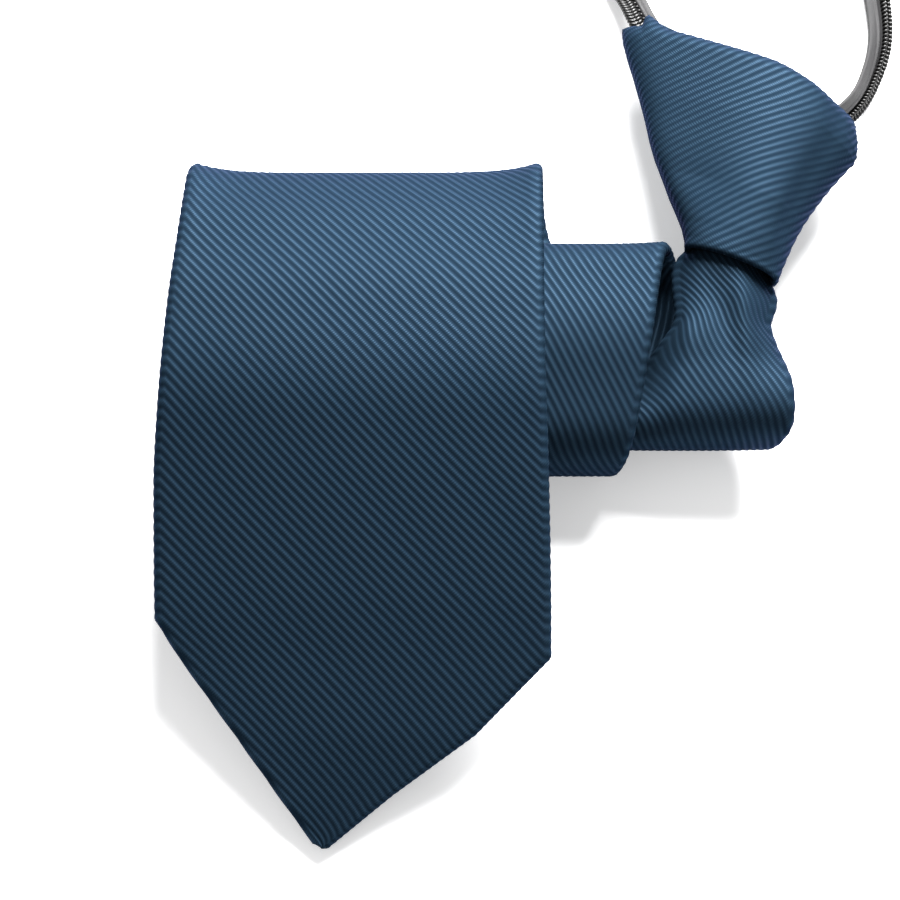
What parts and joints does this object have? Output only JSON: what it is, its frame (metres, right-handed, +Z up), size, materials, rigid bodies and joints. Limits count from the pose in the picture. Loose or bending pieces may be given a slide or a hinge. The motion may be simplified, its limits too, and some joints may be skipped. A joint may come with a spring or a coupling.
{
  "type": "zipper tie",
  "caption": "Ready-knotted zipper tie in ribbed blue cloth, rolled up with its wide blade on top and its zipper neck loop laid out flat behind the knot.",
  "frame": {"origin": "on the table, at the middle of the rolled cloth's flat underside", "axes": "+X to the wearer's side of the knot, across the blade; +Y from the tip towards the neck loop; +Z up from the table"},
  "size_m": [0.16, 0.3145, 0.0339],
  "materials": {
    "tie_cloth": "satin",
    "tape_cloth": "matte",
    "coil_plastic": "satin",
    "slider_metal": "satin"
  },
  "bodies": {
    "root": {"blade": "tie_cloth", "knot_wrap": "tie_cloth", "zipper_tape": "tape_cloth", "zipper_coil": "coil_plastic", "zipper_slider": "slider_metal"}
  },
  "joints": []
}
